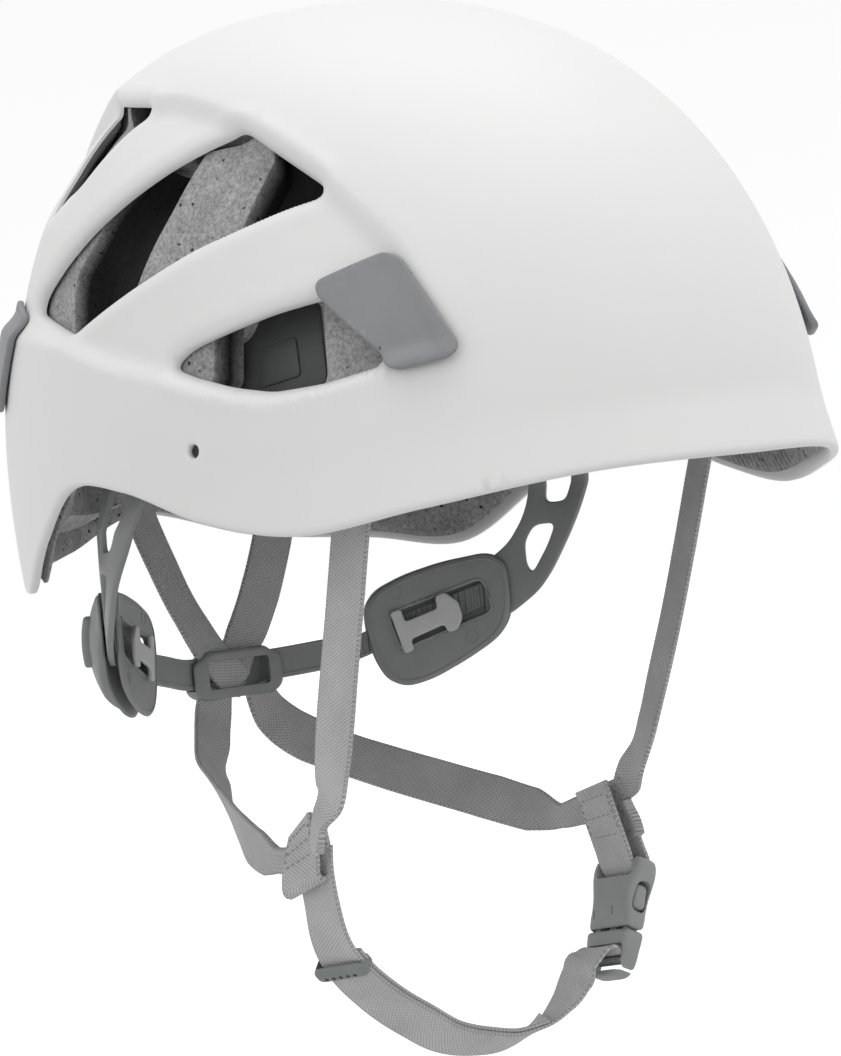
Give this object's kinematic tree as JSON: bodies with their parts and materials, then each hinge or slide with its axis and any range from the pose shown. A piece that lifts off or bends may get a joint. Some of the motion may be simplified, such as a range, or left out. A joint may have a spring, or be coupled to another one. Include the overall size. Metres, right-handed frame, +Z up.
{
  "type": "climbing helmet",
  "caption": "Hard-shell climbing helmet with side vents, foam liners, lamp clips, adjustable rear cradle and webbing harness with a chin buckle.",
  "frame": {"origin": "centre of the wearer's head at brow height, on the helmet's symmetry plane", "axes": "+Z up, -Y forward (the way the wearer looks), -X the wearer's right"},
  "size_m": [0.21, 0.2757, 0.3113],
  "materials": {
    "shell_white": "satin moulded ABS shell",
    "epp_foam": "speckled expanded foam",
    "eps_foam": "expanded foam",
    "pad_fabric": "knitted fabric over foam",
    "clip_grey": "satin moulded",
    "nylon_grey": "fine textured nylon",
    "lock_grey": "fine textured",
    "webbing_light": "ribbed polyester webbing",
    "webbing_dark": "ribbed polyester webbing",
    "buckle_grey": "satin acetal",
    "keeper_grey": "satin acetal",
    "pin_nylon": "moulded nylon"
  },
  "bodies": {
    "helmet": {"outer_shell": "shell_white", "side_liner": "epp_foam", "crown_liner": "eps_foam", "brow_pad": "pad_fabric", "crown_pad": "pad_fabric", "rear_pad": "pad_fabric", "junction_loop_right": "webbing_light", "junction_loop_left": "webbing_light", "buckle_female": "buckle_grey", "chin_strap": "webbing_light", "front_clip_right": "clip_grey", "rear_clip_right": "clip_grey", "headband_plate_right": "nylon_grey", "cradle_pin_right": "pin_nylon", "front_strap_right": "webbing_light", "rear_strap_upper_right": "webbing_dark", "rear_strap_lower_right": "webbing_dark", "front_anchor_right": "pin_nylon", "rear_anchor_right": "pin_nylon", "front_clip_left": "clip_grey", "rear_clip_left": "clip_grey", "headband_plate_left": "nylon_grey", "cradle_pin_left": "pin_nylon", "front_strap_left": "webbing_light", "rear_strap_upper_left": "webbing_dark", "rear_strap_lower_left": "webbing_dark", "front_anchor_left": "pin_nylon", "rear_anchor_left": "pin_nylon"},
    "cradle": {"nape_band_right": "nylon_grey", "nape_band_left": "nylon_grey", "strap_guide": "nylon_grey", "rear_arm_right": "nylon_grey", "rear_arm_left": "nylon_grey"},
    "pad_right": {"adjuster_pad_right": "nylon_grey", "pad_cover_right": "nylon_grey"},
    "pad_left": {"adjuster_pad_left": "nylon_grey", "pad_cover_left": "nylon_grey"},
    "lock_right": {"lock_slider_right": "lock_grey"},
    "lock_left": {"lock_slider_left": "lock_grey"},
    "male_half": {"buckle_male": "buckle_grey"},
    "keeper": {"strap_keeper": "keeper_grey"}
  },
  "joints": [
    {"name": "cradle_fold", "type": "hinge", "parent": "helmet", "child": "cradle", "pos_m": [0, 0.02, 0.02], "axis": [1, 0, 0], "range_deg": [-40, 6], "deforming": ["rear_strap_upper_right", "rear_strap_upper_left", "rear_strap_lower_right", "rear_strap_lower_left"]},
    {"name": "pad_right_adjust", "type": "slide", "parent": "cradle", "child": "pad_right", "axis": [-0.7471, -0.6002, 0.2856], "range_m": [-0.005, 0.005], "deforming": ["rear_arm_right"]},
    {"name": "pad_left_adjust", "type": "slide", "parent": "cradle", "child": "pad_left", "axis": [0.7471, -0.6002, 0.2856], "range_m": [-0.005, 0.005], "deforming": ["rear_arm_left"]},
    {"name": "lock_right_slide", "type": "slide", "parent": "pad_right", "child": "lock_right", "axis": [-0.7471, -0.6002, 0.2856], "range_m": [0, 0.003]},
    {"name": "lock_left_slide", "type": "slide", "parent": "pad_left", "child": "lock_left", "axis": [0.7471, -0.6002, 0.2856], "range_m": [0, 0.003]},
    {"name": "buckle_release", "type": "slide", "parent": "helmet", "child": "male_half", "axis": [-0.4208, -0.1002, -0.9016], "range_m": [0, 0.028], "deforming": ["chin_strap"]},
    {"name": "keeper_slide", "type": "slide", "parent": "helmet", "child": "keeper", "axis": [0.657, 0.192, -0.729], "range_m": [-0.006, 0.006]}
  ]
}
